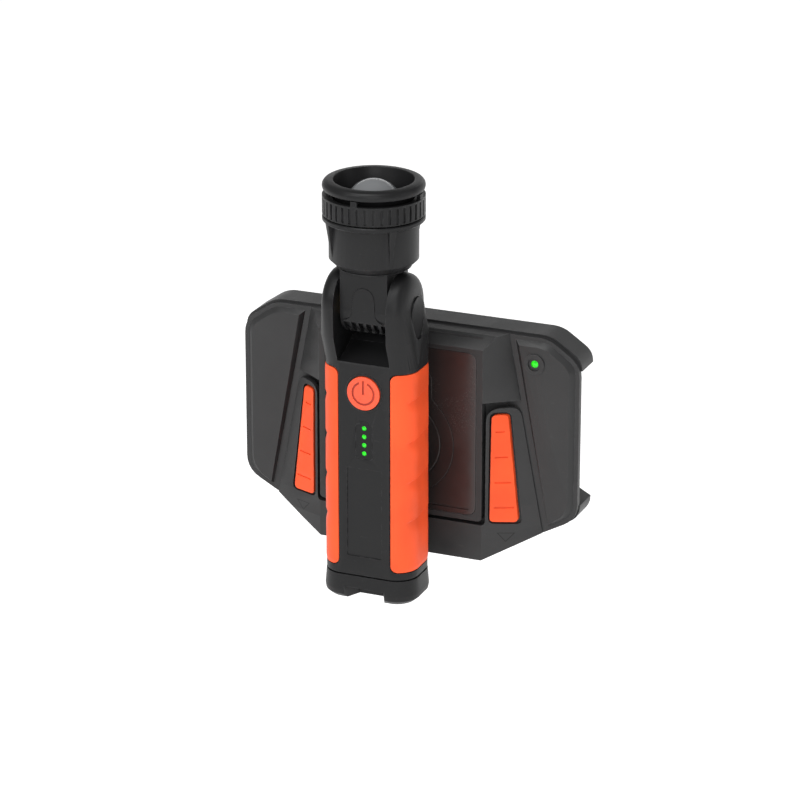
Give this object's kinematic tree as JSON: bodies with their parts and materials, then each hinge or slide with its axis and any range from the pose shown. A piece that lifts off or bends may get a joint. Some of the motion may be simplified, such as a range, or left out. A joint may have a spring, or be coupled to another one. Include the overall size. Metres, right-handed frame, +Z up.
{
  "type": "firefighter flashlight",
  "caption": "Right-angle firefighter's flashlight with tilting focus head, soft side grips and a push button, docked on its wall-held charging cradle with a pull-down release.",
  "frame": {"origin": "centre of the dock's four-hole mounting pattern, on its rear face", "axes": "+Y out of the rear face towards the wall, +Z up, +X to the right of someone facing the dock"},
  "size_m": [0.1824, 0.0888, 0.2165],
  "materials": {
    "dock_plastic": "fine-textured charcoal moulding",
    "panel_plastic": "semi-gloss charcoal panel",
    "copper_coil": "enamelled copper wire",
    "ferrite": "sintered ferrite sheet",
    "magnet_steel": "nickel-plated magnet",
    "circuit_board": "green solder mask",
    "green_light": "lit green light pipe",
    "black_plastic": "fine-textured black nylon",
    "steel": "zinc-plated steel",
    "brass": "turned brass",
    "orange_rubber": "soft-touch orange overmould",
    "orange_plastic": "orange silicone keycap",
    "black_rubber": "moulded rubber",
    "smoked_window": "smoked window",
    "cell_wrap": "shrink-wrapped cell",
    "lead_sheath": "silicone lead",
    "aluminium": "machined aluminium",
    "phosphor": "yellow phosphor",
    "lens_glass": "polished aspheric lens"
  },
  "bodies": {
    "dock": {"dock_housing": "dock_plastic", "dock_rear_shell": "dock_plastic", "center_plate": "panel_plastic", "charging_pad": "panel_plastic", "transmit_coil": "copper_coil", "transmit_ferrite": "ferrite", "dock_magnet": "magnet_steel", "dock_board": "circuit_board", "status_led": "green_light", "dc_inlet": "black_plastic", "dc_inlet_pin": "steel", "mount_inserts": "brass", "dock_screws": "steel", "slider_springs": "steel"},
    "slider": {"release_slider": "dock_plastic", "left_pad": "orange_rubber", "right_pad": "orange_rubber", "latch_fork": "steel", "fork_screws": "steel"},
    "button": {"power_button": "orange_plastic"},
    "neck": {"neck_block": "black_plastic", "head_cup": "black_plastic", "cup_seal": "black_rubber", "heatsink": "aluminium", "led_board": "circuit_board", "emitter": "phosphor", "head_leads": "lead_sheath"},
    "focus": {"focus_ring": "black_plastic", "bezel": "black_plastic"},
    "lens_group": {"lens_carrier": "black_plastic", "guide_pins": "steel", "lens": "lens_glass", "lens_retainer": "black_rubber"},
    "handle": {"front_shell": "black_plastic", "rear_shell": "black_plastic", "left_grip": "orange_rubber", "right_grip": "orange_rubber", "button_ring": "black_rubber", "tact_switch": "black_plastic", "gauge_window": "smoked_window", "gauge_leds": "green_light", "main_board": "circuit_board", "battery_cells": "cell_wrap", "cell_cradle": "black_plastic", "cell_contacts": "steel", "cell_springs": "steel", "tail_gasket": "black_rubber", "tail_cap": "black_plastic", "tail_screws": "steel", "shell_screws": "steel", "docking_bracket": "black_plastic", "bracket_screws": "steel", "docking_stud": "steel", "receive_coil": "copper_coil", "bracket_magnet": "magnet_steel", "pivot_axle": "steel", "pivot_washers": "brass", "left_pivot_cover": "black_plastic", "right_pivot_cover": "black_plastic", "handle_leads": "lead_sheath"}
  },
  "joints": [
    {"name": "undock_pull", "type": "slide", "parent": "dock", "child": "handle", "axis": [0, -1, 0], "range_m": [0, 0.06]},
    {"name": "release_slide", "type": "slide", "parent": "dock", "child": "slider", "axis": [0, 0, -1], "range_m": [0, 0.005], "stiffness_N_per_m": 900, "springref_m": -0.002, "deforming": ["slider_springs"]},
    {"name": "power_press", "type": "slide", "parent": "handle", "child": "button", "axis": [0, 1, 0], "range_m": [0, 0.001], "stiffness_N_per_m": 1500, "springref_m": -0.0005},
    {"name": "head_tilt", "type": "hinge", "parent": "handle", "child": "neck", "pos_m": [0, -0.0637, 0.0731], "axis": [1, 0, 0], "range_deg": [0, 90]},
    {"name": "focus_turn", "type": "hinge", "parent": "neck", "child": "focus", "pos_m": [0, -0.0637, 0.125], "axis": [0, 0, 1], "range_deg": [0, 120]},
    {"name": "lens_focus", "type": "slide", "parent": "neck", "child": "lens_group", "axis": [0, 0, -1], "range_m": [0, 0.004]}
  ],
  "couplings": [
    {"joint": "lens_focus", "follows": "focus_turn", "m_per_rad": 0.0019}
  ]
}
